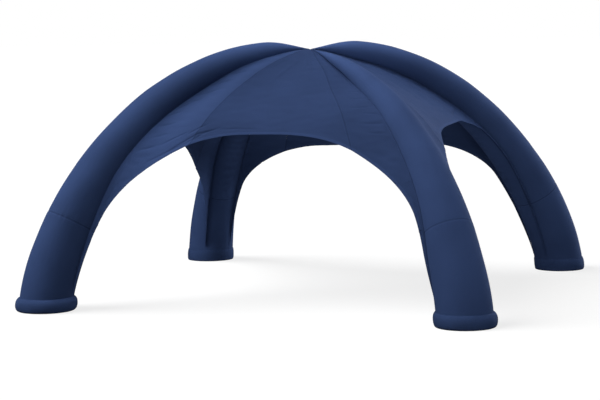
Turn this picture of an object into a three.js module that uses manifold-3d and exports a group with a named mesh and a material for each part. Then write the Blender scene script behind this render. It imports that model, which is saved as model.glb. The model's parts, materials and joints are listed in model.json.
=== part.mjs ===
// Inflatable tent of two crossing arches: four tapered air-filled legs meet at the peak,
// a padded cuff rings each foot, and a stretched canopy panel of three gores fills each side.
// Millimetres, +Z up, origin on the ground in the middle of the four feet. The front panel faces -Y.
import * as THREE from 'three';
import Module from 'manifold-3d';

const wasm = await Module();
wasm.setup();

// Plan: the feet stand on a square, and the peak is a little to the left of its middle
const FOOT_SPACING = 5000;
const PEAK = { x: -80, y: 0, height: 2960 };

// The two arches are unlike. The pulls and the dip shape the centre line of a leg, the rest its girth
const ARCHES = {
  high: { footPull: 700, peakPull: 2320, peakDip: -100, taper: 0.755, taperPower: 1.73, nosePower: 1.2 },
  low: { footPull: 210, peakPull: 3200, peakDip: 476, taper: 0.985, taperPower: 1.43, nosePower: 1 },
};

// The canopy is sewn to a leg a number of degrees below its sides. Part of the way up that line is
// lifted by some degrees, round a share of the leg's length, over a spread, and with a flatter top
// for a higher power. Near the peak it is lifted again
const SEWN_LINES = {
  front_left: { below: 46, lift: 30, at: 0.41, spread: 0.22, power: 2, peakLift: 24 },
  front_right: { below: 52, lift: 60, at: 0.43, spread: 0.3, power: 4, peakLift: 0 },
  back_left: { below: 54, lift: 30, at: 0.45, spread: 0.2, power: 2, peakLift: 0 },
  back_right: { below: 58, lift: 24, at: 0.41, spread: 0.2, power: 2, peakLift: 0 },
};
const PEAK_LIFT_START = 0.65;
const PEAK_LIFT_END = 0.92;

// One row per leg: the corner that its foot stands in, and the arch that it belongs to
const LEGS = [
  { name: 'front_left', x: -1, y: -1, arch: ARCHES.high },
  { name: 'front_right', x: 1, y: -1, arch: ARCHES.low },
  { name: 'back_left', x: -1, y: 1, arch: ARCHES.low },
  { name: 'back_right', x: 1, y: 1, arch: ARCHES.high },
];

// Girth of a tube at its foot, and the last share of its length, which is drawn in to a point
const TUBE_FOOT_RADIUS = 312;
const NOSE_SHARE = 0.13;
const NOSE_LAST_RING = 0.992;
const TUBE_TIP = 0.995;
const TUBE_SIDES = 18;
const TUBE_BODY_STEPS = 18;
const TUBE_NOSE_STEPS = 6;

// The ring seam that joins the lower and the upper sleeve of a tube
const SEAM_ALONG = 0.215;
const SEAM_PINCH = 5;
const SEAM_HALF_WIDTH = 0.008;

// Padded ring round each foot: height above the ground and bulge beyond the tube
const CUFF_SIDES = 24;
const CUFF_FIT = 0.6;
const CUFF_PROFILE = [
  { height: 0, bulge: 10 },
  { height: 22, bulge: 22 },
  { height: 70, bulge: 28 },
  { height: 116, bulge: 25 },
  { height: 148, bulge: 15 },
  { height: 166, bulge: 2 },
];

// Canopy cloth: thickness, how far from the tubes it is sewn, and how it hangs between them
const CLOTH = 2;
const SEWN_CLEARANCE = 6;
const PANEL_SAG = 0.045;
const GORE_BOW = 0.012;
const GORE_SEAMS = { left: 0.6, right: 0.65 };
const GORE_GAP = 0.8;
const GORE_BODY_ROWS = 12;
const MIDDLE_COLUMNS = 6;
const SIDE_COLUMNS = 5;
const SIDE_CROWDING = 1.8;
const FLAP_COLUMNS = 8;
const COLUMN_SPREAD_POWER = 3;

// The flaps that run down the legs from the springing of a doorway arch to just above the cuffs
const FLAP_START = 0.97;
const FLAP_FOOT_HEIGHT = 205;

// One row per panel, seen from outside: its two legs, the height of the doorway crest and its shift
// as a share of the half width, and for each side the height it springs from and how square it is
const PANELS = [
  {
    name: 'front', legs: ['front_left', 'front_right'], crest: 2057, lean: -0.083,
    left: { spring: 890, squareness: 2.75 }, right: { spring: 975, squareness: 3.1 },
  },
  {
    name: 'right', legs: ['front_right', 'back_right'], crest: 2066, lean: 0.427,
    left: { spring: 950, squareness: 3.15 }, right: { spring: 1850, squareness: 3.15 },
  },
  {
    name: 'back', legs: ['back_right', 'back_left'], crest: 1728, lean: -0.375,
    left: { spring: 1160, squareness: 3.8 }, right: { spring: 950, squareness: 4.1 },
  },
  {
    name: 'left', legs: ['back_left', 'front_left'], crest: 1945, lean: 0.48,
    left: { spring: 305, squareness: 2 }, right: { spring: 1500, squareness: 8 },
  },
];

// Cloth colours
const TUBE_CLOTH = { color: 0x33446b, roughness: 0.82, metalness: 0 };
const CUFF_CLOTH = { color: 0x2d3c60, roughness: 0.85, metalness: 0 };
const CANOPY_CLOTH = { color: 0x37486f, roughness: 0.8, metalness: 0 };

// Fineness of the working: divisions of a centre line, halvings of a searched length, and the step
// that a slope is read over
const LINE_DIVISIONS = 2000;
const SOLVE_HALVINGS = 48;
const SLOPE_STEP = 0.002;

// A leg with its direction from the peak and its centre line in its own upright plane: reach from
// the peak axis, and height
function makeLeg({ name, x, y, arch }) {
  const out = new THREE.Vector2((x * FOOT_SPACING) / 2 - PEAK.x, (y * FOOT_SPACING) / 2 - PEAK.y);
  const reach = out.length();
  const line = new THREE.CubicBezierCurve(
    new THREE.Vector2(reach, 0),
    new THREE.Vector2(reach, arch.footPull),
    new THREE.Vector2(arch.peakPull, PEAK.height - arch.peakDip),
    new THREE.Vector2(0, PEAK.height),
  );
  line.arcLengthDivisions = LINE_DIVISIONS;
  return { name, arch, line, sewn: SEWN_LINES[name], out: out.normalize() };
}

// A point of the tent from a leg's reach, its sideways offset to the left of the leg, and height
function legPoint(leg, reach, side, height) {
  return [
    PEAK.x + leg.out.x * reach - leg.out.y * side,
    PEAK.y + leg.out.y * reach + leg.out.x * side,
    height,
  ];
}

// The share along a rising or falling quantity at which it takes a value
function solveAlong(quantity, value) {
  const rising = quantity(1) > quantity(0);
  let low = 0;
  let high = 1;
  for (let i = 0; i < SOLVE_HALVINGS; i += 1) {
    const middle = (low + high) / 2;
    if ((quantity(middle) < value) === rising) low = middle;
    else high = middle;
  }
  return (low + high) / 2;
}

// Radius of a tube with its seam left out
function tubeRadius(arch, along) {
  const girth = TUBE_FOOT_RADIUS * (1 - arch.taper * along ** arch.taperPower);
  const drawnIn = Math.sin((Math.PI / 2) * Math.min(1, (1 - along) / NOSE_SHARE));
  return girth * drawnIn ** arch.nosePower;
}

// Shares of a leg's length at which its pointed end is stepped
function noseStations() {
  const start = 1 - NOSE_SHARE;
  const stations = [];
  for (let i = 1; i <= TUBE_NOSE_STEPS; i += 1) {
    const swing = Math.sin((i / TUBE_NOSE_STEPS) * (Math.PI / 2));
    stations.push(start + (NOSE_LAST_RING - start) * swing);
  }
  return stations;
}

// Shares of a leg's length at which its rings lie, three of them at the seam
function ringStations() {
  const stations = noseStations();
  for (let i = 0; i <= TUBE_BODY_STEPS; i += 1) {
    stations.push(((1 - NOSE_SHARE) * i) / TUBE_BODY_STEPS);
  }
  const clear = stations.filter((along) => Math.abs(along - SEAM_ALONG) > 2 * SEAM_HALF_WIDTH);
  clear.push(SEAM_ALONG - SEAM_HALF_WIDTH, SEAM_ALONG, SEAM_ALONG + SEAM_HALF_WIDTH);
  return clear.sort((a, b) => a - b);
}

// A closed mesh from its points and triangles
function closedShape(points, triangles) {
  const shape = new THREE.BufferGeometry();
  shape.setAttribute('position', new THREE.Float32BufferAttribute(points.flat(), 3));
  shape.setIndex(triangles.flat());
  return shape;
}

// A leg tube, swept round its centre line and let out by a given amount
function legShape(leg, letOut) {
  const points = [];
  const triangles = [];
  const stations = ringStations();
  for (const along of stations) {
    const centre = leg.line.getPointAt(along);
    const run = leg.line.getTangentAt(along);
    const radius = tubeRadius(leg.arch, along) + letOut - (along === SEAM_ALONG ? SEAM_PINCH : 0);
    for (let j = 0; j < TUBE_SIDES; j += 1) {
      const angle = (j / TUBE_SIDES) * 2 * Math.PI;
      const reach = centre.x + radius * Math.cos(angle) * run.y;
      const height = along === 0 ? 0 : centre.y - radius * Math.cos(angle) * run.x;
      points.push(legPoint(leg, reach, radius * Math.sin(angle), height));
    }
  }
  const tipCentre = leg.line.getPointAt(TUBE_TIP);
  const tip = points.push(legPoint(leg, tipCentre.x, 0, tipCentre.y)) - 1;
  const base = points.push(legPoint(leg, leg.line.getPointAt(0).x, 0, 0)) - 1;
  const last = (stations.length - 1) * TUBE_SIDES;
  for (let j = 0; j < TUBE_SIDES; j += 1) {
    const next = (j + 1) % TUBE_SIDES;
    triangles.push([base, next, j], [last + j, last + next, tip]);
    for (let row = 0; row < last; row += TUBE_SIDES) {
      triangles.push([row + j, row + next, row + TUBE_SIDES + next]);
      triangles.push([row + j, row + TUBE_SIDES + next, row + TUBE_SIDES + j]);
    }
  }
  return closedShape(points, triangles);
}

// Solids for cutting one shape with another
function toSolid(shape) {
  const position = shape.getAttribute('position');
  return new wasm.Manifold(new wasm.Mesh({
    numProp: 3,
    vertProperties: new Float32Array(position.array),
    triVerts: new Uint32Array(shape.getIndex().array),
  }));
}

function fromSolid(solid) {
  const cut = solid.getMesh();
  const shape = new THREE.BufferGeometry();
  shape.setAttribute('position', new THREE.Float32BufferAttribute(cut.vertProperties, 3));
  shape.setIndex(Array.from(cut.triVerts));
  return shape;
}

// A foot cuff: rings that follow the lean of the tube, bored out to fit over it
function cuffShape(leg) {
  const points = [];
  const triangles = [];
  const ends = [];
  for (const ring of CUFF_PROFILE) {
    const along = solveAlong((share) => leg.line.getPointAt(share).y, ring.height);
    const [x, y] = legPoint(leg, leg.line.getPointAt(along).x, 0, ring.height);
    const radius = tubeRadius(leg.arch, along) + ring.bulge;
    for (let j = 0; j < CUFF_SIDES; j += 1) {
      const angle = (j / CUFF_SIDES) * 2 * Math.PI;
      points.push([x + radius * Math.cos(angle), y + radius * Math.sin(angle), ring.height]);
    }
    ends.push([x, y, ring.height]);
  }
  const last = (CUFF_PROFILE.length - 1) * CUFF_SIDES;
  const base = points.push(ends[0]) - 1;
  const top = points.push(ends[ends.length - 1]) - 1;
  for (let j = 0; j < CUFF_SIDES; j += 1) {
    const next = (j + 1) % CUFF_SIDES;
    triangles.push([base, next, j], [last + j, last + next, top]);
    for (let row = 0; row < last; row += CUFF_SIDES) {
      triangles.push([row + j, row + next, row + CUFF_SIDES + next]);
      triangles.push([row + j, row + CUFF_SIDES + next, row + CUFF_SIDES + j]);
    }
  }
  const bore = toSolid(legShape(leg, CUFF_FIT));
  return fromSolid(toSolid(closedShape(points, triangles)).subtract(bore));
}

// The place on a tube that a panel is sewn to: 1 for the left side of the leg, -1 for the right
function sewnPoint(leg, along, sideOfLeg) {
  const centre = leg.line.getPointAt(along);
  const run = leg.line.getTangentAt(along);
  const away = tubeRadius(leg.arch, along) + SEWN_CLEARANCE;
  const fromLift = Math.abs(along - leg.sewn.at) / leg.sewn.spread;
  const lift = leg.sewn.lift * Math.exp(-(fromLift ** leg.sewn.power));
  const nearPeak = THREE.MathUtils.smoothstep(along, PEAK_LIFT_START, PEAK_LIFT_END);
  const below = THREE.MathUtils.degToRad(leg.sewn.below - lift - leg.sewn.peakLift * nearPeak);
  const inward = away * Math.sin(below);
  const side = sideOfLeg * away * Math.cos(below);
  const height = centre.y + inward * run.x;
  return new THREE.Vector3(...legPoint(leg, centre.x - inward * run.y, side, height));
}

// A point straight between the two legs of a panel, with the way across from leg to leg
function straightPoint(panel, share, along) {
  const start = sewnPoint(panel.leftLeg, along, 1);
  const across = sewnPoint(panel.rightLeg, along, -1).sub(start);
  return { point: start.addScaledVector(across, (share + 1) / 2), across };
}

// Height of a panel's lower edge at a share of the half width, before the cloth sags
function edgeHeight(panel, share) {
  const side = share < panel.lean ? panel.left : panel.right;
  const width = Math.abs(share);
  if (width > FLAP_START) {
    const down = (width - FLAP_START) / (1 - FLAP_START);
    return side.spring + (FLAP_FOOT_HEIGHT - side.spring) * down;
  }
  const place = (share - panel.lean) / (Math.sign(share - panel.lean) * FLAP_START - panel.lean);
  const fall = Math.max(0, 1 - Math.abs(place) ** side.squareness);
  return side.spring + (panel.crest - side.spring) * Math.sqrt(fall);
}

// A point of the cloth of a panel: a share of the half width, and a share along the legs
function clothPoint(panel, gore, share, along, depthIntoCloth) {
  const { point, across } = straightPoint(panel, share, along);
  const rise = point.clone().sub(straightPoint(panel, share, along - SLOPE_STEP).point);
  const outward = across.clone().cross(rise).normalize();
  const half = across.length() / 2;
  const part = (share - gore.from) / (gore.to - gore.from);
  const sag = PANEL_SAG * half * (1 - share * share) + GORE_BOW * half * 4 * part * (1 - part);
  const startGap = gore.from > -1 ? GORE_GAP / 2 : 0;
  const endGap = gore.to < 1 ? GORE_GAP / 2 : 0;
  point.addScaledVector(across.normalize(), startGap * (1 - part) - endGap * part);
  point.addScaledVector(outward, -(sag + depthIntoCloth));
  return point.toArray();
}

// Shares along the legs at which the rows of a gore lie, from its lower edge to the peak
function rowStations(startAlong) {
  const rows = [];
  for (let row = 0; row <= GORE_BODY_ROWS; row += 1) {
    rows.push(startAlong + ((1 - NOSE_SHARE - startAlong) * row) / GORE_BODY_ROWS);
  }
  return [...rows, ...noseStations()];
}

// One gore of a panel, a thin sheet between two shares of the half width. Its columns crowd at the
// ends of the hem and are spread evenly at the peak
function goreShape(panel, gore) {
  const columns = gore.shares.length;
  const points = [];
  let rowCount = 0;
  gore.shares.forEach((hemShare, column) => {
    const peakShare = gore.from + ((gore.to - gore.from) * column) / (columns - 1);
    const height = edgeHeight(panel, hemShare);
    const rows = rowStations(solveAlong((along) => straightPoint(panel, hemShare, along).point.z, height));
    rowCount = rows.length;
    rows.forEach((along, row) => {
      const share = hemShare + (peakShare - hemShare) * (row / (rowCount - 1)) ** COLUMN_SPREAD_POWER;
      points.push(clothPoint(panel, gore, share, along, 0));
      points.push(clothPoint(panel, gore, share, along, CLOTH));
    });
  });
  const top = rowCount - 1;
  const outer = (column, row) => 2 * (column * rowCount + row);
  const inner = (column, row) => outer(column, row) + 1;
  const triangles = [];
  const quad = (a, b, c, d) => triangles.push([a, b, c], [a, c, d]);
  for (let column = 0; column < columns - 1; column += 1) {
    for (let row = 0; row < top; row += 1) {
      quad(outer(column, row), outer(column + 1, row), outer(column + 1, row + 1), outer(column, row + 1));
      quad(inner(column, row), inner(column, row + 1), inner(column + 1, row + 1), inner(column + 1, row));
    }
    quad(outer(column, 0), inner(column, 0), inner(column + 1, 0), outer(column + 1, 0));
    quad(outer(column, top), outer(column + 1, top), inner(column + 1, top), inner(column, top));
  }
  for (let row = 0; row < top; row += 1) {
    const end = columns - 1;
    quad(outer(0, row), outer(0, row + 1), inner(0, row + 1), inner(0, row));
    quad(outer(end, row), inner(end, row), inner(end, row + 1), outer(end, row + 1));
  }
  return closedShape(points, triangles);
}

// Shares of the half width at which the columns of a side gore lie, from its seam to the leg
function sideShares(seam) {
  const shares = [];
  for (let i = 0; i < SIDE_COLUMNS; i += 1) {
    shares.push(FLAP_START - (FLAP_START - seam) * (1 - i / SIDE_COLUMNS) ** SIDE_CROWDING);
  }
  for (let i = 0; i <= FLAP_COLUMNS; i += 1) shares.push(FLAP_START + ((1 - FLAP_START) * i) / FLAP_COLUMNS);
  return shares;
}

// The three gores of a panel, seen from outside
function goreTable() {
  const { left, right } = GORE_SEAMS;
  const middle = [];
  for (let i = 0; i <= MIDDLE_COLUMNS; i += 1) middle.push(((left + right) * i) / MIDDLE_COLUMNS - left);
  return [
    { name: 'left', from: -1, to: -left, shares: sideShares(left).map((share) => -share).reverse() },
    { name: 'middle', from: -left, to: right, shares: middle },
    { name: 'right', from: right, to: 1, shares: sideShares(right) },
  ];
}

// Assembly
const tent = new THREE.Group();
tent.name = 'inflatable_tent';

function addPiece(name, shape, cloth) {
  shape.computeVertexNormals();
  const piece = new THREE.Mesh(shape, new THREE.MeshStandardMaterial(cloth));
  piece.name = name;
  tent.add(piece);
}

const legs = new Map(LEGS.map((row) => [row.name, makeLeg(row)]));
for (const leg of legs.values()) {
  addPiece(`leg_${leg.name}`, legShape(leg, 0), TUBE_CLOTH);
  addPiece(`cuff_${leg.name}`, cuffShape(leg), CUFF_CLOTH);
}
for (const row of PANELS) {
  const panel = { ...row, leftLeg: legs.get(row.legs[0]), rightLeg: legs.get(row.legs[1]) };
  for (const gore of goreTable()) {
    addPiece(`canopy_${panel.name}_${gore.name}`, goreShape(panel, gore), CANOPY_CLOTH);
  }
}

export default tent;
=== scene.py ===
# Inflatable tent of two crossing arches: air-filled legs, padded foot cuffs and a stretched canopy.
# Metres, +Z up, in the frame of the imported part. The front panel faces -Y.
import json
import math

import bpy
import numpy as np
from mathutils import Matrix

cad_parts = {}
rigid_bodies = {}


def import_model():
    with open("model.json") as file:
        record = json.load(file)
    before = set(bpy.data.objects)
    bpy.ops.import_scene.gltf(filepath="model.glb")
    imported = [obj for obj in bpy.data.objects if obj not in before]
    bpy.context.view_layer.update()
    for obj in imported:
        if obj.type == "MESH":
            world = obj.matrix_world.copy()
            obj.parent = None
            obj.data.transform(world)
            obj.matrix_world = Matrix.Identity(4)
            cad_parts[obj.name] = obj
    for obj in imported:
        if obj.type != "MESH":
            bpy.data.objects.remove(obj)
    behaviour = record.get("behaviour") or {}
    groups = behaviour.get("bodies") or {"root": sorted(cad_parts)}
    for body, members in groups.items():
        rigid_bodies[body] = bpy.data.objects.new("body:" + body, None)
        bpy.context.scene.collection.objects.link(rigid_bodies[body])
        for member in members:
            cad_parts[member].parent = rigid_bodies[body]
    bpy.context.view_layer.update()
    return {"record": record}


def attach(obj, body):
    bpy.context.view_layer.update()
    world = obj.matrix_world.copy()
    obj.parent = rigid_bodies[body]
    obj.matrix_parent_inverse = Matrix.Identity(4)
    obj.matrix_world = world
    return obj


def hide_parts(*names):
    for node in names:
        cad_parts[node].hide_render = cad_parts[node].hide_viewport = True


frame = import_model()
bpy.ops.object.select_all(action="DESELECT")

# Legs: four air-filled tubes of coated navy polyester that lean in from the feet and meet at the peak.
# Each is sewn from sleeves joined end to end, so it runs a little straight between the joints, and
# the lowest joint shows as a drawn-in ring with short puckers on both sides of it.
PEAK = np.array([-0.080, 0.0])
PEAK_HEIGHT = 2.960
ARCHES = {
    "high": {"foot_pull": 0.700, "peak_pull": 2.320, "peak_dip": -0.100,
             "taper": 0.755, "power": 1.73, "nose": 1.2},
    "low": {"foot_pull": 0.210, "peak_pull": 3.200, "peak_dip": 0.476,
            "taper": 0.985, "power": 1.43, "nose": 1.0},
}
ARCH_OF_LEG = {"front_left": "high", "front_right": "low", "back_left": "low", "back_right": "high"}
SEWN_LINES = {
    "front_left": {"below": 46, "lift": 30, "at": 0.41, "spread": 0.22, "power": 2, "peak_lift": 24},
    "front_right": {"below": 52, "lift": 60, "at": 0.43, "spread": 0.30, "power": 4, "peak_lift": 0},
    "back_left": {"below": 54, "lift": 30, "at": 0.45, "spread": 0.20, "power": 2, "peak_lift": 0},
    "back_right": {"below": 58, "lift": 24, "at": 0.41, "spread": 0.20, "power": 2, "peak_lift": 0},
}
PEAK_LIFT = (0.65, 0.92)
TUBE_FOOT_RADIUS = 0.312
NOSE_SHARE = 0.13
SLEEVE_JOINTS = (0.0, 0.215, 0.335, 0.56, 0.785, 1.0)
RING_SEAM = SLEEVE_JOINTS[1]
SLEEVE_STRAIGHTNESS = 0.10
SLEEVE_EASE = {"foot": 0.10, "peak": 0.15}
LINE_POINTS = 4001
LEG_TIP = 0.9972
LEG_RINGS = 240
LEG_SIDES = 104
SEAM_RINGS = 17
SEAM_RINGS_REACH = 0.012


class Leg:
    """One tube: its direction from the peak, and its centre line as reach from the peak axis and height."""

    def __init__(self, name, foot):
        self.name = name
        self.arch = ARCHES[ARCH_OF_LEG[name]]
        self.out = np.array(foot[:2]) - PEAK
        foot_reach = np.linalg.norm(self.out)
        self.out /= foot_reach
        share = np.linspace(0, 1, LINE_POINTS)
        near_foot, near_peak = 3 * share * (1 - share) ** 2, 3 * share**2 * (1 - share)
        self.reach = ((1 - share) ** 3 + near_foot) * foot_reach + near_peak * self.arch["peak_pull"]
        self.height = near_foot * self.arch["foot_pull"] + share**3 * PEAK_HEIGHT
        self.height += near_peak * (PEAK_HEIGHT - self.arch["peak_dip"])
        lengths = np.concatenate([[0], np.cumsum(np.hypot(np.diff(self.reach), np.diff(self.height)))])
        self.length = lengths[-1]
        self.along = lengths / self.length
        run = np.stack([np.gradient(self.reach), np.gradient(self.height)])
        self.run_reach, self.run_height = run / np.hypot(*run)

    def at(self, along):
        """Reach, height and direction of the centre line at a share of its length."""
        line = self.reach, self.height, self.run_reach, self.run_height
        return [np.interp(along, self.along, values) for values in line]

    def radius(self, along):
        """Radius of the tube with its seams left out."""
        girth = TUBE_FOOT_RADIUS * (1 - self.arch["taper"] * along ** self.arch["power"])
        return girth * np.sin(math.pi / 2 * np.clip((1 - along) / NOSE_SHARE, 0, 1)) ** self.arch["nose"]

    def sewn_below(self, along):
        """Angle below the side of the tube at which the canopy is sewn to it."""
        sewn = SEWN_LINES[self.name]
        from_lift = np.abs(along - sewn["at"]) / sewn["spread"]
        lift = sewn["lift"] * np.exp(-(from_lift ** sewn["power"]))
        lift += sewn["peak_lift"] * ramp(along, *PEAK_LIFT)
        return np.radians(sewn["below"] - lift)

    def sleeve_shift(self, along):
        """How far the centre line stands out where sleeves join, and draws in between the joints."""
        shift = np.zeros_like(along)
        for low, high in zip(SLEEVE_JOINTS[:-1], SLEEVE_JOINTS[1:]):
            ends = np.array([self.at(low)[:2], self.at(high)[:2]])
            bow = np.linalg.norm(np.array(self.at((low + high) / 2)[:2]) - ends.mean(axis=0))
            part = (along - low) / (high - low)
            inside = (part >= 0) & (part <= 1)
            shift = np.where(inside, SLEEVE_STRAIGHTNESS * bow * (2 / 3 - 4 * part * (1 - part)), shift)
        ease = np.clip(along / SLEEVE_EASE["foot"], 0, 1) * np.clip((1 - along) / SLEEVE_EASE["peak"], 0, 1)
        return shift * ease

    def point(self, reach, side, height):
        """A point of the tent from reach, offset to the left of the leg, and height."""
        east = PEAK[0] + self.out[0] * reach - self.out[1] * side
        north = PEAK[1] + self.out[1] * reach + self.out[0] * side
        return np.stack(np.broadcast_arrays(east, north, height), axis=-1)

    def round_points(self, along, angle, radius):
        """Points round the tube, none of them below the ground."""
        reach, height, run_reach, run_height = self.at(along)
        shift = self.sleeve_shift(along)
        away = reach + shift * run_height + radius * np.cos(angle) * run_height
        level = np.maximum(height - shift * run_reach - radius * np.cos(angle) * run_reach, 0)
        return self.point(away, radius * np.sin(angle), level)


def cloth_swell(points, size, seed, waves=16):
    """An uneven soft swell, mostly between -2 and 2, with humps of about the given size."""
    dice = np.random.default_rng(seed)
    swell = np.zeros(points.shape[:-1])
    for _ in range(waves):
        heading = dice.normal(size=3)
        heading *= 2 * math.pi / (np.linalg.norm(heading) * size * dice.uniform(0.7, 1.6))
        swell += np.sin(points @ heading + dice.uniform(0, 2 * math.pi))
    return swell / math.sqrt(waves / 2)


def bump(distance, width):
    """A soft rise of one at no distance, gone at about twice the width."""
    return np.exp(-((distance / width) ** 2))


def ramp(value, start, end):
    """A smooth step from 0 at start to 1 at end."""
    part = np.clip((value - start) / (end - start), 0, 1)
    return part * part * (3 - 2 * part)


def cloth_piece(name, points, flat, gaps, closed=False, caps=False):
    """A quad grid of cloth with flat coordinates as a UV map, and its gaps to the sewing as attributes."""
    rows, columns = points.shape[:2]
    index = np.arange(rows * columns).reshape(rows, columns)
    if closed:
        index = np.concatenate([index, index[:, :1]], axis=1)
    corners = ((0, 0), (0, 1), (1, 1), (1, 0))
    spans = [(slice(r, index.shape[0] - 1 + r), slice(c, index.shape[1] - 1 + c)) for r, c in corners]
    quads = np.stack([index[span] for span in spans], axis=-1).reshape(-1, 4)
    flat_corners = np.stack([flat[span] for span in spans], axis=2).reshape(-1, 2)
    faces = quads.tolist()
    if caps:
        faces += [index[0, -2::-1].tolist(), index[-1, :-1].tolist()]
        flat_corners = np.concatenate([flat_corners, flat[0, -2::-1], flat[-1, :-1]])
    mesh = bpy.data.meshes.new(name)
    mesh.from_pydata(points.reshape(-1, 3).tolist(), [], faces)
    mesh.uv_layers.new(name="cloth").data.foreach_set("uv", flat_corners.ravel())
    for gap_name, gap in gaps.items():
        mesh.attributes.new(gap_name, "FLOAT", "POINT").data.foreach_set("value", gap.ravel())
    mesh.polygons.foreach_set("use_smooth", np.ones(len(faces), dtype=bool))
    mesh.update()
    piece = bpy.data.objects.new(name, mesh)
    bpy.context.scene.collection.objects.link(piece)
    return piece


def worked_out(tree, operation, *values):
    """The output of a math node fed with sockets or plain numbers."""
    node = tree.nodes.new("ShaderNodeMath")
    node.operation = operation
    for socket, value in zip(node.inputs, values):
        if isinstance(value, (int, float)):
            socket.default_value = value
        else:
            tree.links.new(value, socket)
    return node.outputs[0]


def between(tree, value, start, end):
    """A smooth step in a shader, from 0 at start to 1 at end."""
    node = tree.nodes.new("ShaderNodeMapRange")
    node.interpolation_type = "SMOOTHSTEP"
    node.inputs["From Min"].default_value = start
    node.inputs["From Max"].default_value = end
    tree.links.new(value, node.inputs["Value"])
    return node.outputs["Result"]


def tinted(tree, share, plain, tint):
    """A colour that goes from plain to tint by a share. Either colour is a socket or three numbers."""
    node = tree.nodes.new("ShaderNodeMix")
    node.data_type = "RGBA"
    tree.links.new(share, node.inputs["Factor"])
    for socket, colour in ((node.inputs[6], plain), (node.inputs[7], tint)):
        if isinstance(colour, tuple):
            socket.default_value = (*colour, 1)
        else:
            tree.links.new(colour, socket)
    return node.outputs[2]


THREAD_PITCH = 0.0024
THREAD_RELIEF = 0.0002
STITCH_LENGTH = 0.010
STITCH_WIDTH = 0.0016
STITCH_FILL = 0.68
STITCH_RELIEF = 0.0008
STITCHES_FROM_SEAM = 0.016
STITCHES_FROM_HEM = 0.034
DYE_SCALE = 1.7
DYE_DETAIL = 5
DYE_EDGES = (0.3, 0.7)
YARN_SCALE = (900, 14, 1)
JOINT_EDGES = (0.010, 0.004)
# The band of painted light along the hem
HEM_LIGHT_BAND = (0.037, 0.030)
# Tints: painted shade for joints, painted light for the hem band, and a paler tint that is mostly painted
# light
TINTS = {"deep": 0.93, "pale": 1.07, "slub": 1.25, "pale_tone_and_light": 1.55,
         "shaded": 0.45, "hem_light": 1.9, "thread": 1.5}
TINT_SHARES = {"slub": 0.22, "hem_light": 0.2, "thread": 0.7}
CREASE_DETAIL = 4
CREASE_DISTORTION = 0.6
MATTE_RANGE = (0.78, 0.92)
CLOTH_GLOSS = 0.015
CLOTH_SHEEN = 0.01
SHEEN_ROUGHNESS = 0.5
SHEEN_BLUE = (0.35, 0.5, 1.0, 1)


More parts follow.
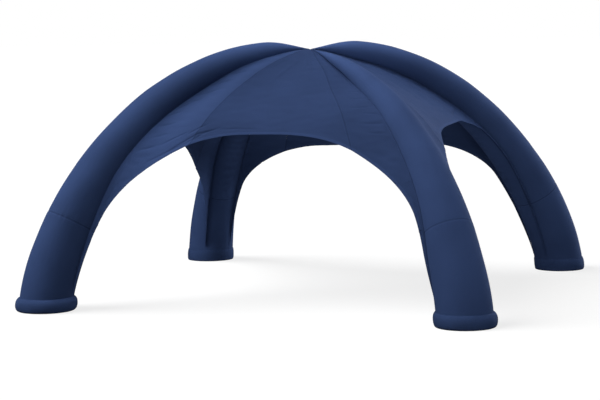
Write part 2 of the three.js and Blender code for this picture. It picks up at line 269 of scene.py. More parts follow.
def navy_cloth(name, colour, seam_shade, seam_run, crease_scale, crease_depth):
    """Woven navy polyester: thread relief, uneven dye, faint creases and sewn lines; painted shade in the
    joints, painted light along the hem, and a paler tint that is mostly painted light.
    """
    material = bpy.data.materials.new(name)
    material.use_nodes = True
    tree = material.node_tree
    shader = tree.nodes["Principled BSDF"]
    flat = tree.nodes.new("ShaderNodeUVMap")
    flat.uv_map = "cloth"
    flat_parts = tree.nodes.new("ShaderNodeSeparateXYZ")
    tree.links.new(flat.outputs["UV"], flat_parts.inputs[0])
    place = tree.nodes.new("ShaderNodeTexCoord").outputs["Object"]
    tint = {word: tuple(strength * part for part in colour) for word, strength in TINTS.items()}
    gap = {}
    for gap_name in ("seam_gap", "edge_gap", "paleness"):
        reader = tree.nodes.new("ShaderNodeAttribute")
        reader.attribute_name = gap_name
        gap[gap_name] = reader.outputs["Fac"]

    # Dye that took a little unevenly, over the panel and from yarn to yarn
    dye = tree.nodes.new("ShaderNodeTexNoise")
    dye.inputs["Scale"].default_value = DYE_SCALE
    dye.inputs["Detail"].default_value = DYE_DETAIL
    tree.links.new(place, dye.inputs["Vector"])
    yarn_map = tree.nodes.new("ShaderNodeMapping")
    yarn_map.inputs["Scale"].default_value = YARN_SCALE
    tree.links.new(flat.outputs["UV"], yarn_map.inputs["Vector"])
    yarn = tree.nodes.new("ShaderNodeTexNoise")
    yarn.inputs["Scale"].default_value = 1
    tree.links.new(yarn_map.outputs["Vector"], yarn.inputs["Vector"])
    cloth_colour = tinted(tree, between(tree, dye.outputs["Fac"], *DYE_EDGES), tint["deep"], tint["pale"])
    slub = worked_out(tree, "MULTIPLY", yarn.outputs["Fac"], TINT_SHARES["slub"])
    cloth_colour = tinted(tree, slub, cloth_colour, tint["slub"])
    # Paler where the paleness attribute says: painted light, and in the left gores partly a paler cut of
    # cloth
    cloth_colour = tinted(tree, gap["paleness"], cloth_colour, tint["pale_tone_and_light"])

    # A joint is painted in its own shade, and a band along the turned edge is painted light
    joint = between(tree, gap["seam_gap"], *JOINT_EDGES)
    cloth_colour = tinted(tree, worked_out(tree, "MULTIPLY", joint, seam_shade), cloth_colour, tint["shaded"])
    edge = between(tree, gap["edge_gap"], *HEM_LIGHT_BAND)
    cloth_colour = tinted(tree, worked_out(tree, "MULTIPLY", edge, TINT_SHARES["hem_light"]), cloth_colour, tint["hem_light"])

    # Rows of stitches beside each joint and along the top of the hem
    rows = []
    stitched = (("seam_gap", STITCHES_FROM_SEAM, seam_run), ("edge_gap", STITCHES_FROM_HEM, "X"))
    for gap_name, offset, run in stitched:
        away = worked_out(tree, "ABSOLUTE", worked_out(tree, "SUBTRACT", gap[gap_name], offset))
        line = worked_out(tree, "LESS_THAN", away, STITCH_WIDTH)
        step = worked_out(tree, "DIVIDE", flat_parts.outputs[run], STITCH_LENGTH)
        dash = worked_out(tree, "LESS_THAN", worked_out(tree, "FRACT", step), STITCH_FILL)
        rows.append(worked_out(tree, "MULTIPLY", line, dash))
    stitches = worked_out(tree, "ADD", *rows)
    cloth_colour = tinted(tree, worked_out(tree, "MULTIPLY", stitches, TINT_SHARES["thread"]), cloth_colour, tint["thread"])
    tree.links.new(cloth_colour, shader.inputs["Base Color"])

    # Thread relief, stitches and faint creases lift the surface
    threads = []
    for run in ("X", "Y"):
        turn = worked_out(tree, "MULTIPLY", flat_parts.outputs[run], 2 * math.pi / THREAD_PITCH)
        threads.append(worked_out(tree, "SINE", turn))
    weave = worked_out(tree, "MULTIPLY", *threads)
    crease_map = tree.nodes.new("ShaderNodeMapping")
    crease_map.inputs["Scale"].default_value = crease_scale
    tree.links.new(flat.outputs["UV"], crease_map.inputs["Vector"])
    crease = tree.nodes.new("ShaderNodeTexNoise")
    crease.inputs["Scale"].default_value = 1
    crease.inputs["Detail"].default_value = CREASE_DETAIL
    crease.inputs["Distortion"].default_value = CREASE_DISTORTION
    tree.links.new(crease_map.outputs["Vector"], crease.inputs["Vector"])
    normal = None
    reliefs = ((crease.outputs["Fac"], crease_depth), (stitches, STITCH_RELIEF), (weave, THREAD_RELIEF))
    for height, depth in reliefs:
        relief = tree.nodes.new("ShaderNodeBump")
        relief.inputs["Strength"].default_value = 1
        relief.inputs["Distance"].default_value = depth
        tree.links.new(height, relief.inputs["Height"])
        if normal is not None:
            tree.links.new(normal, relief.inputs["Normal"])
        normal = relief.outputs["Normal"]
    tree.links.new(normal, shader.inputs["Normal"])

    # A matte coat that is a little smoother where the dye is deep
    matte = tree.nodes.new("ShaderNodeMapRange")
    matte.inputs["To Min"].default_value = MATTE_RANGE[0]
    matte.inputs["To Max"].default_value = MATTE_RANGE[1]
    tree.links.new(dye.outputs["Fac"], matte.inputs["Value"])
    tree.links.new(matte.outputs["Result"], shader.inputs["Roughness"])
    shader.inputs["Specular IOR Level"].default_value = CLOTH_GLOSS
    shader.inputs["Sheen Weight"].default_value = CLOTH_SHEEN
    shader.inputs["Sheen Roughness"].default_value = SHEEN_ROUGHNESS
    shader.inputs["Sheen Tint"].default_value = SHEEN_BLUE
    return material


RING_DIP = 0.0020
RING_DIP_WIDTH = 0.016
PUCKER_DEPTH = 0.0022
PUCKER_REACH = 0.075
PUCKERS_ROUND = 34
PUCKER_WANDER = {"amount": 1.3, "size": 0.3, "seed": 21}
PUCKER_STRENGTH = {"mean": 0.6, "change": 0.4, "size": 0.35, "seed": 31}
SLEEVE_SWELL = {"depth": 0.0020, "size": 0.55, "seed": 11}
SEWN_LOOSENESS = 0.04
LOOSE_PAST_SEWING = (0.2, 0.5)
FIRM_AT_FOOT = (0.0, 0.02)
FIRM_AT_TIP = (0.0, 0.2)
# Painted light: the tubes are painted paler toward the peak, more on some legs than others
PAINTED_PEAK_LIGHT = (0.66, 0.92)
PEAK_PALENESS = {"front_left": 1.0, "front_right": 0.45, "back_left": 0.45, "back_right": 0.9}
INSIDE_FOLD = {"depth": 0.004, "pitch": 0.13, "size": 0.4, "seed": 41}
INSIDE_FOLD_ROUND = (0.45, 0.8)
INSIDE_FOLD_ALONG = (0.12, 0.3)
TUBE_NAVY = (0.0288, 0.0505, 0.1279)

tube_cloth = navy_cloth(
    "navy_tube_cloth", TUBE_NAVY, seam_shade=0.5, seam_run="X", crease_scale=(5, 2.2, 1), crease_depth=0.0035
)

legs = {}
for mount in frame["record"]["mounts"]:
    leg_name = mount["name"].removeprefix("foot_")
    legs[leg_name] = Leg(leg_name, mount["pos_m"])
ring_along = np.linspace(0, LEG_TIP, LEG_RINGS)
seam_rings = RING_SEAM + np.linspace(-SEAM_RINGS_REACH, SEAM_RINGS_REACH, SEAM_RINGS)
ring_along = np.sort(np.concatenate([ring_along, seam_rings]))[:, None]
leg_angle = np.linspace(-math.pi, math.pi, LEG_SIDES + 1)[None, :]
for leg_number, leg in enumerate(legs.values()):
    radius = leg.radius(ring_along) + 0 * leg_angle
    smooth = leg.round_points(ring_along, leg_angle, radius)
    past_sewing = np.abs(leg_angle) - math.pi / 2 - leg.sewn_below(ring_along)
    loose = SEWN_LOOSENESS + (1 - SEWN_LOOSENESS) * ramp(np.abs(past_sewing), *LOOSE_PAST_SEWING)
    girth = radius / TUBE_FOOT_RADIUS
    swell = cloth_swell(smooth, SLEEVE_SWELL["size"], SLEEVE_SWELL["seed"] + leg_number)
    let_out = SLEEVE_SWELL["depth"] * girth * loose * swell
    from_ring = (ring_along - RING_SEAM) * leg.length
    wander = cloth_swell(smooth, PUCKER_WANDER["size"], PUCKER_WANDER["seed"] + leg_number)
    pucker = np.cos(PUCKERS_ROUND * leg_angle + PUCKER_WANDER["amount"] * wander)
    swell = cloth_swell(smooth, PUCKER_STRENGTH["size"], PUCKER_STRENGTH["seed"] + leg_number)
    pucker *= PUCKER_STRENGTH["mean"] + PUCKER_STRENGTH["change"] * swell
    let_out += PUCKER_DEPTH * pucker * np.exp(-np.abs(from_ring) / PUCKER_REACH) * loose
    let_out -= RING_DIP * bump(from_ring, RING_DIP_WIDTH)
    inside = ramp(past_sewing, *INSIDE_FOLD_ROUND) * ramp(ring_along, *INSIDE_FOLD_ALONG)
    wander = cloth_swell(smooth, INSIDE_FOLD["size"], INSIDE_FOLD["seed"])
    fold = np.sin(2 * math.pi * ring_along * leg.length / INSIDE_FOLD["pitch"] + wander)
    let_out += INSIDE_FOLD["depth"] * girth * inside * fold
    let_out *= ramp(ring_along, *FIRM_AT_FOOT) * ramp(girth, *FIRM_AT_TIP)
    points = leg.round_points(ring_along, leg_angle, radius + let_out)[:, :-1]

    flat = np.stack([leg_angle * radius, ring_along * leg.length + 0 * leg_angle], axis=-1)
    seam_gap = np.abs(from_ring) + 0 * leg_angle[:, :-1]
    # Paler toward the peak: painted light
    paleness = PEAK_PALENESS[leg.name] * ramp(ring_along, *PAINTED_PEAK_LIGHT) + 0 * seam_gap
    gaps = {"seam_gap": seam_gap, "edge_gap": np.ones_like(seam_gap), "paleness": paleness}
    tube = cloth_piece(f"tube_{leg.name}", points, flat, gaps, closed=True, caps=True)
    tube.data.materials.append(tube_cloth)
    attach(tube, "root")
    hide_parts(f"leg_{leg.name}")

# Foot cuffs: a rolled and padded ring of the same cloth round the bottom of each tube, sewn shut along
# its top edge. It stands flat on the ground and keeps the foot round.
CUFF_FIT = 0.0010
CUFF_SIDES = 160
CUFF_HEIGHTS = (0.0, 0.006, 0.022, 0.046, 0.070, 0.096, 0.120, 0.140, 0.153, 0.160)
CUFF_BULGES = (0.008, 0.015, 0.024, 0.029, 0.031, 0.030, 0.026, 0.018, 0.010, 0.003)
CUFF_PROFILE_STEPS = 40
CUFF_INNER_STEPS = 6
CUFF_GATHERS = 46
CUFF_GATHER_DEPTH = 0.0018
CUFF_GATHERED = (0.09, 0.15)
CUFF_WANDER = {"amount": 1.5, "size": 0.3, "seed": 51}
CUFF_UNEVEN = {"depth": 0.0016, "size": 0.22, "seed": 61}
CUFF_EVEN_AT_GROUND = (0.0, 0.03)
CUFF_FULL_FROM = (0.003, 0.012)
CUFF_UNEVEN_FROM = (0.002, 0.012)
CUFF_WELD = 0.00005
CUFF_FULLNESS = {"front_left": 1.6, "front_right": 1.25, "back_left": 0.5, "back_right": 0.5}
CUFF_NAVY = (0.0267, 0.0468, 0.1174)

cuff_cloth = navy_cloth(
    "navy_cuff_cloth", CUFF_NAVY, seam_shade=0.3, seam_run="X", crease_scale=(9, 5, 1), crease_depth=0.0030
)

profile_turns = np.linspace(0, len(CUFF_HEIGHTS) - 1, CUFF_PROFILE_STEPS)
outer_height = np.interp(profile_turns, np.arange(len(CUFF_HEIGHTS)), CUFF_HEIGHTS)
outer_bulge = np.interp(profile_turns, np.arange(len(CUFF_BULGES)), CUFF_BULGES)
inner_height = np.linspace(CUFF_HEIGHTS[-1], 0, CUFF_INNER_STEPS)
ring_height = np.concatenate([outer_height, inner_height, outer_height[:1]])[:, None]
ring_bulge = np.concatenate([outer_bulge, np.full(CUFF_INNER_STEPS, CUFF_FIT), outer_bulge[:1]])[:, None]
on_outside = np.concatenate([np.ones(CUFF_PROFILE_STEPS), np.zeros(CUFF_INNER_STEPS), np.ones(1)])[:, None]
cuff_angle = np.linspace(-math.pi, math.pi, CUFF_SIDES + 1)[None, :]
for leg_number, leg in enumerate(legs.values()):
    cuff_along = np.interp(ring_height, leg.height, leg.along)
    middle = leg.point(leg.at(cuff_along)[0] + leg.sleeve_shift(cuff_along), 0, ring_height)
    ring = np.stack([np.cos(cuff_angle), np.sin(cuff_angle), 0 * cuff_angle], axis=-1)
    smooth = ring * TUBE_FOOT_RADIUS + np.stack([0 * ring_height, 0 * ring_height, ring_height], axis=-1)
    wander = cloth_swell(smooth, CUFF_WANDER["size"], CUFF_WANDER["seed"] + leg_number)
    gather = np.cos(CUFF_GATHERS * cuff_angle + CUFF_WANDER["amount"] * wander)
    uneven = CUFF_GATHER_DEPTH * ramp(ring_height, *CUFF_GATHERED) * gather
    swell = cloth_swell(smooth, CUFF_UNEVEN["size"], CUFF_UNEVEN["seed"] + leg_number)
    uneven += CUFF_UNEVEN["depth"] * swell * ramp(ring_height, *CUFF_EVEN_AT_GROUND)
    fullness = 1 + (CUFF_FULLNESS[leg.name] - 1) * on_outside * ramp(ring_bulge, *CUFF_FULL_FROM)
    radius = leg.radius(cuff_along) + ring_bulge * fullness
    radius = radius + uneven * on_outside * ramp(ring_bulge, *CUFF_UNEVEN_FROM)
    points = middle + ring * radius[..., None]
    steps = np.hypot(np.diff(ring_height, axis=0), np.diff(ring_bulge, axis=0))
    round_profile = np.concatenate([[[0]], np.cumsum(steps, axis=0)])
    flat = np.stack(np.broadcast_arrays(cuff_angle * TUBE_FOOT_RADIUS, round_profile), axis=-1)
    top_turn = round_profile[CUFF_PROFILE_STEPS - 1]
    seam_gap = np.abs(round_profile - top_turn) + 0 * cuff_angle[:, :-1]
    gaps = {"seam_gap": seam_gap, "edge_gap": np.ones_like(seam_gap)}
    cuff = cloth_piece(f"padded_cuff_{leg.name}", points[:, :-1], flat, gaps, closed=True)
    bpy.context.view_layer.objects.active = cuff
    cuff.select_set(True)
    bpy.ops.object.mode_set(mode="EDIT")
    bpy.ops.mesh.select_all(action="SELECT")
    bpy.ops.mesh.remove_doubles(threshold=CUFF_WELD)
    bpy.ops.mesh.normals_make_consistent(inside=False)
    bpy.ops.object.mode_set(mode="OBJECT")
    cuff.select_set(False)
    cuff.data.materials.append(cuff_cloth)
    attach(cuff, "root")
    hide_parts(f"cuff_{leg.name}")

# Canopy: each side is a stretched panel of three gores of light navy polyester, sewn to one another and,
# with a turned-in allowance, to the sides of the tubes. Its hemmed lower edge is an arched doorway that
# runs out in a narrow flap down each leg. The left gore is cut across the grain and is a little paler;
# painted light makes it paler still toward its leg, where the tube's shadow falls, and makes the whole right
# panel and the back panel toward its back left leg paler.
SEWN_CLEARANCE = 0.0018
TUCK_WIDTH = 0.034
TUCK_CLEARANCE = 0.0003
TUCK_MOST = 0.4
TUCK_COLUMNS = 3
CLOTH = 0.002
PANEL_SAG = 0.045
GORE_BOW = 0.012
GORE_SEAMS = {"left": 0.60, "right": 0.65}
GORE_GAP = 0.0008
MIDDLE_COLUMNS = 100
SIDE_COLUMNS = 60
SIDE_CROWDING = 2.0
FLAP_COLUMNS = 24
COLUMN_SPREAD_POWER = 3
ROW_SPREAD_POWER = 1.2
HEM_ALONG = (0.01, 0.8)
FLAP_START = 0.97
FLAP_FOOT_HEIGHT = 0.205
HEM_ROUNDING = 0.014
HEM_ROUNDING_STEPS = 15
SLOPE_STEP = 0.002
PANELS = (
    {"name": "front", "legs": ("front_left", "front_right"), "rows": 270, "crest": 2.057, "lean": -0.083,
     "left": {"spring": 0.890, "squareness": 2.75}, "right": {"spring": 0.975, "squareness": 3.1}},
    {"name": "right", "legs": ("front_right", "back_right"), "rows": 120, "crest": 2.066, "lean": 0.427,
     "left": {"spring": 0.950, "squareness": 3.15}, "right": {"spring": 1.850, "squareness": 3.15}},
    {"name": "back", "legs": ("back_right", "back_left"), "rows": 90, "crest": 1.728, "lean": -0.375,
     "left": {"spring": 1.160, "squareness": 3.8}, "right": {"spring": 0.950, "squareness": 4.1}},
    {"name": "left", "legs": ("back_left", "front_left"), "rows": 90, "crest": 1.945, "lean": 0.48,
     "left": {"spring": 0.305, "squareness": 2}, "right": {"spring": 1.500, "squareness": 8}},
)
HEM_WIDTH = 0.034
HEM_THICKNESS = 0.0015
HEM_STEP = 0.006
HEM_LEAST_RUN = 1e-9
HEM_LEAST_LEAN = 0.05
HEM_PUCKER = {"depth": 0.0006, "size": 0.09, "reach": 0.06}
PANEL_SEED = 100
PANEL_SEED_STEP = 10
PANEL_SWELL = {"depth": 0.004, "size": 0.7}
SMALL_SWELL = {"depth": 0.0015, "size": 0.22, "squeeze": (1, 1, 2.5), "from_hem": 0.12}
SEAM_LAP = {"height": 0.0018, "width": 0.014}
CALM_SHARE = 0.2
CALM_WIDTH = 0.05
CREASE_FROM_HEM = 0.09
CREASE_END = 0.04
CREASE_END_POWER = 0.6
EDGE_ANGLE = math.radians(50)
LEAST_FILL = 0.36
CANOPY_NAVY = (0.0206, 0.0362, 0.0921)
SEAM_PALENESS = 0.35
PALENESS_RUN = 0.22
RIGHT_PANEL_PALENESS = 0.4

# Creases of each panel on the flat cloth: metres to the right of its middle and down from the peak.
# A trough has a depth below zero and a ridge above.
CREASES = {
    "front": (
        {"line": ((-1.42, 3.00), (-0.94, 2.66), (-0.76, 2.48), (-0.62, 2.40)),
         "width": 0.017, "depth": -0.013},
        {"line": ((-1.47, 3.12), (-1.13, 2.86), (-0.93, 2.73)), "width": 0.016, "depth": -0.012},
        {"line": ((-1.20, 2.84), (-0.86, 2.53), (-0.68, 2.44)), "width": 0.015, "depth": -0.010},
        {"line": ((-0.64, 2.43), (-0.40, 2.41), (-0.18, 2.42)), "width": 0.020, "depth": -0.007},
        {"line": ((-1.30, 2.96), (-0.95, 2.73), (-0.70, 2.55)), "width": 0.018, "depth": 0.008},
        {"line": ((-1.02, 2.57), (-0.86, 2.43), (-0.76, 2.34)), "width": 0.014, "depth": -0.008},
        {"line": ((-1.28, 2.72), (-1.10, 2.58), (-0.98, 2.50)), "width": 0.014, "depth": -0.007},
        {"line": ((-1.32, 2.25), (-1.14, 2.12)), "width": 0.015, "depth": -0.007},
        {"line": ((-1.23, 2.09), (-1.04, 1.90)), "width": 0.016, "depth": -0.008},
        {"line": ((-1.16, 1.95), (-0.94, 1.82)), "width": 0.014, "depth": -0.006},
        {"line": ((-1.07, 1.80), (-0.75, 1.56)), "width": 0.018, "depth": -0.007},
        {"line": ((-0.93, 1.55), (-0.68, 1.35)), "width": 0.016, "depth": -0.006},
        {"line": ((-0.78, 1.28), (-0.56, 1.10)), "width": 0.015, "depth": -0.005},
        {"line": ((-1.40, 2.43), (-1.17, 2.35)), "width": 0.015, "depth": -0.008},
        {"line": ((-1.46, 2.64), (-1.25, 2.55)), "width": 0.016, "depth": -0.007},
        {"line": ((-1.55, 2.83), (-1.35, 2.75)), "width": 0.014, "depth": -0.008},
        {"line": ((1.44, 2.58), (1.22, 2.55)), "width": 0.015, "depth": -0.007},
        {"line": ((1.38, 2.41), (1.10, 2.38)), "width": 0.018, "depth": -0.008},
        {"line": ((1.30, 2.23), (1.08, 2.19)), "width": 0.014, "depth": -0.006},
        {"line": ((1.22, 2.07), (0.92, 2.06)), "width": 0.018, "depth": -0.008},
        {"line": ((1.12, 1.88), (0.90, 1.83)), "width": 0.015, "depth": -0.006},
        {"line": ((1.02, 1.66), (0.80, 1.60)), "width": 0.014, "depth": -0.005},
        {"line": ((-0.02, 0.50), (-0.10, 0.95), (-0.22, 1.40)), "width": 0.026, "depth": 0.005},
        {"line": ((-0.12, 0.48), (-0.24, 0.90)), "width": 0.018, "depth": -0.004},
        {"line": ((0.12, 0.46), (0.28, 1.10)), "width": 0.022, "depth": -0.004},
        {"line": ((0.05, 0.44), (0.12, 0.86)), "width": 0.018, "depth": 0.004},
        {"line": ((0.52, 1.35), (0.66, 1.90), (0.76, 2.40)), "width": 0.024, "depth": 0.004},
    ),
    "right": (
        {"line": ((-1.30, 2.30), (-1.02, 2.24)), "width": 0.020, "depth": -0.005},
        {"line": ((-1.16, 1.95), (-0.86, 1.92)), "width": 0.022, "depth": -0.004},
        {"line": ((1.25, 2.20), (0.95, 2.28), (0.70, 2.40)), "width": 0.026, "depth": -0.007},
        {"line": ((1.10, 1.85), (0.84, 1.80)), "width": 0.020, "depth": -0.004},
        {"line": ((0.10, 0.60), (0.20, 1.20)), "width": 0.028, "depth": 0.004},
        {"line": ((-0.45, 1.10), (-0.62, 1.70)), "width": 0.026, "depth": 0.004},
    ),
    "back": (
        {"line": ((-1.30, 2.85), (-0.95, 2.70), (-0.60, 2.66)), "width": 0.026, "depth": -0.008},
        {"line": ((1.38, 2.70), (1.05, 2.64), (0.72, 2.70)), "width": 0.024, "depth": -0.007},
        {"line": ((-1.18, 2.05), (-0.90, 1.92)), "width": 0.020, "depth": -0.005},
        {"line": ((1.20, 2.05), (0.96, 1.98)), "width": 0.018, "depth": -0.004},
        {"line": ((-0.95, 1.60), (-0.70, 1.45)), "width": 0.022, "depth": -0.004},
        {"line": ((0.05, 0.60), (0.12, 1.25)), "width": 0.028, "depth": 0.004},
    ),
    "left": (
        {"line": ((-1.45, 2.95), (-1.20, 2.60), (-1.05, 2.20)), "width": 0.030, "depth": -0.010},
        {"line": ((-1.30, 2.70), (-1.02, 2.30), (-0.88, 1.95)), "width": 0.026, "depth": -0.008},
        {"line": ((-1.12, 2.65), (-0.85, 2.30)), "width": 0.022, "depth": 0.007},
        {"line": ((1.25, 2.15), (0.98, 2.05)), "width": 0.020, "depth": -0.005},
        {"line": ((1.05, 1.75), (0.80, 1.66)), "width": 0.018, "depth": -0.004},
        {"line": ((0.00, 0.60), (-0.08, 1.20)), "width": 0.028, "depth": 0.004},
    ),
}

canopy_cloth = navy_cloth(
    "navy_canopy_cloth", CANOPY_NAVY,
    seam_shade=0.3, seam_run="Y", crease_scale=(3, 7, 1), crease_depth=0.0030,
)


def sewn_point(leg, along, side_of_leg, tuck=0):
    """The place on a tube that a panel is sewn to: 1 for the left side of the leg, -1 for the right.
    The tuck is a share of the allowance, which lies on the tube below the sewn line."""
    reach, height, run_reach, run_height = leg.at(along)
    away = leg.radius(along) + SEWN_CLEARANCE + (TUCK_CLEARANCE - SEWN_CLEARANCE) * tuck
    below = leg.sewn_below(along) + tuck * np.minimum(TUCK_WIDTH / away, TUCK_MOST)
    inward = away * np.sin(below) - leg.sleeve_shift(along)
    side = side_of_leg * away * np.cos(below)
    return leg.point(reach - inward * run_height, side, height + inward * run_reach)


def straight_points(panel, share, along):
    """Points straight between the two legs of a panel, and the way across from leg to leg."""
    left_leg, right_leg = (legs[leg_name] for leg_name in panel["legs"])
    start = sewn_point(left_leg, along, 1)
    across = sewn_point(right_leg, along, -1) - start
    return start + across * ((share + 1) / 2)[..., None], across


def edge_height(panel, share):
    """Height of a panel's lower edge at a share of the half width, before the cloth sags."""
    on_left = share < panel["lean"]
    spring = np.where(on_left, panel["left"]["spring"], panel["right"]["spring"])
    squareness = np.where(on_left, panel["left"]["squareness"], panel["right"]["squareness"])
    width = np.where(on_left, FLAP_START + panel["lean"], FLAP_START - panel["lean"])
    place = np.abs(share - panel["lean"]) / width
    arch = spring + (panel["crest"] - spring) * np.sqrt(np.clip(1 - place**squareness, 0, 1))
    down = (np.abs(share) - FLAP_START) / (1 - FLAP_START)
    return np.where(down > 0, spring + (FLAP_FOOT_HEIGHT - spring) * down, arch)


def hem_height(panel, share):
    """Height of the lower edge, rounded where the arch turns into the flap."""
    spread = min(HEM_ROUNDING, 1 - abs(share)) * np.linspace(-1, 1, HEM_ROUNDING_STEPS)
    return edge_height(panel, share + spread).mean()


def crease_lift(flat, crease):
    """The lift of one crease over the flat cloth, which fades out at both ends of its line."""
    line = np.array(crease["line"])
    steps = np.diff(line, axis=0)
    ends = np.concatenate([[0], np.cumsum(np.linalg.norm(steps, axis=1))])
    nearest = np.full(flat.shape[:-1], np.inf)
    progress = np.zeros(flat.shape[:-1])
    for begin, step, gone in zip(line, steps, ends):
        reach = np.linalg.norm(step)
        part = np.clip((flat - begin) @ step / reach**2, 0, 1)
        distance = np.linalg.norm(flat - begin - part[..., None] * step, axis=-1)
        progress = np.where(distance < nearest, (gone + part * reach) / ends[-1], progress)
        nearest = np.minimum(distance, nearest)
    fade = np.sin(math.pi * np.clip(progress, CREASE_END, 1 - CREASE_END)) ** CREASE_END_POWER
    return crease["depth"] * bump(nearest, crease["width"]) * fade


def side_gore(seam):
    """Shares of the half width at the hem and at the peak of a side gore, from its seam to the tucked edge,
    and its share of the tuck."""
    body = FLAP_START - (FLAP_START - seam) * np.linspace(1, 0, SIDE_COLUMNS + 1) ** SIDE_CROWDING
    flap = np.linspace(FLAP_START, 1, FLAP_COLUMNS + 1)[1:]
    tucked = np.ones(TUCK_COLUMNS)
    even = np.linspace(seam, 1, SIDE_COLUMNS + FLAP_COLUMNS + 1)
    tuck = np.concatenate([0 * even, np.linspace(0, 1, TUCK_COLUMNS + 1)[1:]])
    return np.concatenate([body, flap, tucked]), np.concatenate([even, tucked]), tuck


left_hem, left_peak, left_tuck = side_gore(GORE_SEAMS["left"])
right_hem, right_peak, right_tuck = side_gore(GORE_SEAMS["right"])
middle_share = np.linspace(-GORE_SEAMS["left"], GORE_SEAMS["right"], MIDDLE_COLUMNS + 1)
GORES = (
    {"name": "left", "hem": -left_hem[::-1], "peak": -left_peak[::-1],
     "tuck": left_tuck[::-1], "leg": 0, "side_of_leg": 1},
    {"name": "middle", "hem": middle_share, "peak": middle_share,
     "tuck": 0 * middle_share, "leg": 0, "side_of_leg": 1},
    {"name": "right", "hem": right_hem, "peak": right_peak,
     "tuck": right_tuck, "leg": 1, "side_of_leg": -1},
)
below_crown = np.linspace(*HEM_ALONG, LINE_POINTS)
for panel_number, panel in enumerate(PANELS):
    slant_length = np.mean([legs[leg_name].length for leg_name in panel["legs"]])
    seed = PANEL_SEED + PANEL_SEED_STEP * panel_number
    row_part = np.linspace(0, 1, panel["rows"] + 1)[:, None] ** ROW_SPREAD_POWER
    for gore in GORES:
        start_along = np.empty_like(gore["hem"])
        for column, hem_share in enumerate(gore["hem"]):
            rising = straight_points(panel, np.full_like(below_crown, hem_share), below_crown)[0][:, 2]
            start_along[column] = np.interp(hem_height(panel, hem_share), rising, below_crown)
        along = start_along + (LEG_TIP - start_along) * row_part
        share = gore["hem"] + (gore["peak"] - gore["hem"]) * row_part**COLUMN_SPREAD_POWER
        straight, across = straight_points(panel, share, along)
        rise = straight - straight_points(panel, share, along - SLOPE_STEP)[0]
        outward = np.cross(across, rise)
        outward /= np.linalg.norm(outward, axis=-1, keepdims=True)
        half = np.linalg.norm(across, axis=-1) / 2
        low, high = gore["hem"][0], gore["hem"][-1]
        part = (share - low) / (high - low)
        start_gap = GORE_GAP / 2 if low > -1 else 0
        end_gap = GORE_GAP / 2 if high < 1 else 0
        sideways = (start_gap * (1 - part) - end_gap * part) / (2 * half)
        sag = PANEL_SAG * half * (1 - share**2) + GORE_BOW * half * 4 * part * (1 - part)
        smooth = straight + across * sideways[..., None] - outward * sag[..., None]

        row_steps = np.linalg.norm(np.diff(smooth, axis=0), axis=-1)
        from_hem = np.concatenate([np.zeros_like(share[:1]), np.cumsum(row_steps, axis=0)])
        hem_run = np.gradient(smooth[0], axis=0)
        hem_run /= np.maximum(np.linalg.norm(hem_run, axis=1, keepdims=True), HEM_LEAST_RUN)
        up_panel = rise[0] / np.linalg.norm(rise[0], axis=1, keepdims=True)
        hem_lean = np.linalg.norm(np.cross(hem_run, up_panel), axis=1)
        edge_gap = from_hem * np.maximum(hem_lean, HEM_LEAST_LEAN)
        seam_gap = np.minimum(part, 1 - part) * (high - low) * half
        from_middle = np.stack([share * half, (1 - along) * slant_length], axis=-1)

        calm = ramp(np.minimum(1 - np.abs(share), CALM_SHARE) * half, 0, CALM_WIDTH)
        lift = PANEL_SWELL["depth"] * cloth_swell(smooth, PANEL_SWELL["size"], seed)
        swell = cloth_swell(smooth * SMALL_SWELL["squeeze"], SMALL_SWELL["size"], seed + 1)
        lift += SMALL_SWELL["depth"] * swell * ramp(edge_gap, 0, SMALL_SWELL["from_hem"])
        swell = cloth_swell(smooth, HEM_PUCKER["size"], seed + 2)
        lift += HEM_PUCKER["depth"] * swell * bump(edge_gap, HEM_PUCKER["reach"])
        lift += HEM_THICKNESS * ramp(edge_gap, HEM_WIDTH, HEM_WIDTH - HEM_STEP)
        lift += SEAM_LAP["height"] * bump(seam_gap, SEAM_LAP["width"])
        for crease in CREASES[panel["name"]]:
            lift += crease_lift(from_middle, crease) * ramp(edge_gap, 0, CREASE_FROM_HEM)
        points = smooth + outward * (lift * calm)[..., None]
        tucked = gore["tuck"] > 0
        leg = legs[panel["legs"][gore["leg"]]]
        points[:, tucked] = sewn_point(leg, along[:, tucked], gore["side_of_leg"], gore["tuck"][tucked])

        flat = from_middle * (1, -1)
        flat[..., 0] -= gore["tuck"] * TUCK_WIDTH * gore["side_of_leg"]
        # Paleness: a paler cut across the grain at the left gore's seam, rising toward the leg as painted
        # light, and painted light over the right panel and over the back panel toward its back left leg
        toward_leg = ramp(-share, GORE_SEAMS["left"], GORE_SEAMS["left"] + PALENESS_RUN)
        paleness = (SEAM_PALENESS + (1 - SEAM_PALENESS) * toward_leg) * (gore["name"] == "left")
        if panel["name"] == "right":
            paleness = np.maximum(paleness, RIGHT_PANEL_PALENESS)
        if panel["name"] == "back":
            paleness = ramp(share, -GORE_SEAMS["left"], 0)
        gaps = {"seam_gap": seam_gap, "edge_gap": edge_gap, "paleness": paleness}
        name = f"{panel['name']}_{gore['name']}"
        sheet = cloth_piece(f"gore_{name}", points, flat, gaps)
        thickness = sheet.modifiers.new("cloth", "SOLIDIFY")
        thickness.thickness = CLOTH
        thickness.offset = -1
        bpy.context.view_layer.objects.active = sheet
        sheet.select_set(True)
        bpy.ops.object.modifier_apply(modifier=thickness.name)
        bpy.ops.object.shade_smooth_by_angle(angle=EDGE_ANGLE)
        sheet.select_set(False)
        sheet.data.materials.append(canopy_cloth)
        quad_sides = np.diff(smooth, axis=0)[:, :-1], np.diff(smooth, axis=1)[:-1]
        area = float(np.linalg.norm(np.cross(*quad_sides), axis=-1).sum())
        length = float(from_hem.max())
        width = float(((high - low) * half).max())
        # A tapered strip fills little of the rectangle round it, so its area limits the width it is given
        width = min(width, area / (LEAST_FILL * length))
        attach(sheet, "root")
        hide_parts(f"canopy_{name}")

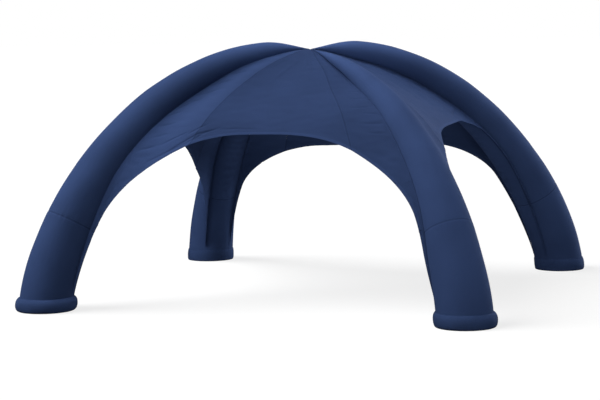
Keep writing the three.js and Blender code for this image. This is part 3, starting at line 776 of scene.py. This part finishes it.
# Floor and surroundings: a pale floor that carries only a faint shadow, and a white room that is bright
# round the horizon. The floor is lit by a lamp of its own, so that its shadows stay faint. Dark discs just
# under it keep the light from below off the cuffs.
FLOOR_SIZE = 4000
FLOOR_DROP = 0.0006
FLOOR_GREY = 0.25
FLOOR_GLOW = 0.805
FOOT_SHADE_RADIUS = 0.60
FOOT_SHADE_DEPTH = 0.004
FOOT_SHADE_GREY = 0.02
ROOM_STRENGTH = 1.8
ROOM_BANDS = (
    (0.0, 0.70), (0.07, 0.70), (0.12, 0.06), (0.25, 0.06), (0.48, 0.07),
    (0.49, 0.556), (0.53, 0.556), (0.54, 0.115), (0.69, 0.115), (0.75, 0.03), (1.0, 0.03),
)
bpy.ops.mesh.primitive_plane_add(size=FLOOR_SIZE, location=(0, 0, -FLOOR_DROP))
floor = bpy.context.object
floor.name = "floor"
floor_paint = bpy.data.materials.new("pale_floor")
floor_paint.use_nodes = True
floor_shader = floor_paint.node_tree.nodes["Principled BSDF"]
floor_shader.inputs["Base Color"].default_value = (FLOOR_GREY, FLOOR_GREY, FLOOR_GREY, 1)
floor_shader.inputs["Roughness"].default_value = 1
floor_shader.inputs["Specular IOR Level"].default_value = 0
floor_shader.inputs["Emission Color"].default_value = (1, 1, 1, 1)
floor_shader.inputs["Emission Strength"].default_value = FLOOR_GLOW
floor.data.materials.append(floor_paint)
floor.visible_diffuse = False
floor.visible_glossy = False

shade_paint = bpy.data.materials.new("foot_shade")
shade_paint.use_nodes = True
shade_shader = shade_paint.node_tree.nodes["Principled BSDF"]
shade_shader.inputs["Base Color"].default_value = (FOOT_SHADE_GREY, FOOT_SHADE_GREY, FOOT_SHADE_GREY, 1)
shades = []
for mount in frame["record"]["mounts"]:
    place = (mount["pos_m"][0], mount["pos_m"][1], -FOOT_SHADE_DEPTH)
    bpy.ops.mesh.primitive_circle_add(radius=FOOT_SHADE_RADIUS, fill_type="NGON", location=place)
    shade = bpy.context.object
    shade.name = mount["name"].replace("foot_", "shade_below_")
    shade.data.materials.append(shade_paint)
    shades.append(shade)

room = bpy.data.worlds.new("white_room")
bpy.context.scene.world = room
room.use_nodes = True
sky = room.node_tree.nodes["Background"]
heading = room.node_tree.nodes.new("ShaderNodeTexCoord")
heading_parts = room.node_tree.nodes.new("ShaderNodeSeparateXYZ")
room.node_tree.links.new(heading.outputs["Generated"], heading_parts.inputs[0])
steepness = room.node_tree.nodes.new("ShaderNodeMapRange")
steepness.inputs["From Min"].default_value = -1
room.node_tree.links.new(heading_parts.outputs["Z"], steepness.inputs["Value"])
bands = room.node_tree.nodes.new("ShaderNodeValToRGB")
room.node_tree.links.new(steepness.outputs["Result"], bands.inputs["Fac"])
sky.inputs["Strength"].default_value = ROOM_STRENGTH
bands.color_ramp.elements.remove(bands.color_ramp.elements[1])
for number, (position, level) in enumerate(ROOM_BANDS):
    band = bands.color_ramp.elements[0] if number == 0 else bands.color_ramp.elements.new(position)
    band.color = (level, level, level, 1)
room.node_tree.links.new(bands.outputs["Color"], sky.inputs["Color"])

# Light: a broad soft lamp overhead and one from the left front light the cloth, with weak fill round it.
# A flag keeps the fill from the right off the front left tube. A wide lamp from the left lights the floor.
FLAGGED_PIECE = "tube_front_left"
LAMP_DISTANCE = 14
LAMP_AIM_HEIGHT = 1.2
FLOOR_LAMP = {"bearing": -70, "elevation": 45, "strength": 3.7, "width": math.radians(50)}
tent_pieces = bpy.data.collections.new("tent_pieces")
unflagged_pieces = bpy.data.collections.new("unflagged_pieces")
floor_pieces = bpy.data.collections.new("floor_pieces")
floor_pieces.objects.link(floor)
for piece in bpy.context.scene.objects:
    if piece.type == "MESH" and piece is not floor and piece not in shades:
        tent_pieces.objects.link(piece)
        if piece.name != FLAGGED_PIECE:
            unflagged_pieces.objects.link(piece)


def turned_lamp(name, kind, lights, bearing, elevation):
    """A lamp that looks at the middle of the tent from a bearing and lights one collection."""
    lamp = bpy.data.objects.new(name, bpy.data.lights.new(name, kind))
    bearing, elevation = math.radians(bearing), math.radians(elevation)
    level = math.cos(elevation)
    toward = np.array([math.sin(bearing) * level, -math.cos(bearing) * level, math.sin(elevation)])
    aside = np.array([math.cos(bearing), math.sin(bearing), 0])
    upward = np.cross(toward, aside)
    place = Matrix(np.array([aside, upward, toward]).T.tolist()).to_4x4()
    place.translation = (toward * LAMP_DISTANCE + (0, 0, LAMP_AIM_HEIGHT)).tolist()
    lamp.matrix_world = place
    lamp.light_linking.receiver_collection = lights
    bpy.context.scene.collection.objects.link(lamp)
    return lamp.data


# A strength of one lights a face square on to the lamp as a white room does.
SOFT_LAMPS = (
    {"name": "overhead", "bearing": 0, "elevation": 89, "size": 9, "strength": 1.04, "flagged": False},
    {"name": "left_front", "bearing": -60, "elevation": 24, "size": 7, "strength": 0.68, "flagged": False},
    {"name": "front", "bearing": -10, "elevation": 25, "size": 7, "strength": 0.15, "flagged": False},
    {"name": "right_front", "bearing": 40, "elevation": 8, "size": 6, "strength": 0.13, "flagged": True},
    {"name": "right", "bearing": 85, "elevation": 15, "size": 7, "strength": 0.08, "flagged": True},
    {"name": "right_back", "bearing": 150, "elevation": 14, "size": 8, "strength": 0.90, "flagged": False},
)
for setting in SOFT_LAMPS:
    lights = unflagged_pieces if setting["flagged"] else tent_pieces
    name = f"{setting['name']}_lamp"
    lamp = turned_lamp(name, "AREA", lights, setting["bearing"], setting["elevation"])
    lamp.size = setting["size"]
    lamp.energy = setting["strength"] * LAMP_DISTANCE**2 * math.pi**2
floor_lamp = turned_lamp("floor_lamp", "SUN", floor_pieces, FLOOR_LAMP["bearing"], FLOOR_LAMP["elevation"])
floor_lamp.energy = FLOOR_LAMP["strength"]
floor_lamp.angle = FLOOR_LAMP["width"]

# Camera: where the photograph was taken from, matched to the feet, the outlines and the doorway.
CAMERA_PLACE = (7.2585, -20.9845, 3.067)
CAMERA_BEARING = math.radians(19.6774)
CAMERA_ELEVATION = math.radians(5.0666)
CAMERA_ROLL = math.radians(-0.9214)
CAMERA_LENS = 108.02
CAMERA_SENSOR = 36
CAMERA_SIGHT = 8000
camera = bpy.data.objects.new("camera", bpy.data.cameras.new("camera"))
camera.data.lens = CAMERA_LENS
camera.data.sensor_width = CAMERA_SENSOR
camera.data.clip_end = CAMERA_SIGHT
back = np.array([
    math.sin(CAMERA_BEARING) * math.cos(CAMERA_ELEVATION),
    -math.cos(CAMERA_BEARING) * math.cos(CAMERA_ELEVATION),
    math.sin(CAMERA_ELEVATION),
])
right = np.array([math.cos(CAMERA_BEARING), math.sin(CAMERA_BEARING), 0])
up = np.cross(back, right)
rolled_right = right * math.cos(CAMERA_ROLL) + up * math.sin(CAMERA_ROLL)
rolled_up = up * math.cos(CAMERA_ROLL) - right * math.sin(CAMERA_ROLL)
camera_place = Matrix(np.array([rolled_right, rolled_up, back]).T.tolist()).to_4x4()
camera_place.translation = CAMERA_PLACE
camera.matrix_world = camera_place
bpy.context.scene.collection.objects.link(camera)
bpy.context.scene.camera = camera
bpy.context.scene.view_settings.view_transform = "Standard"
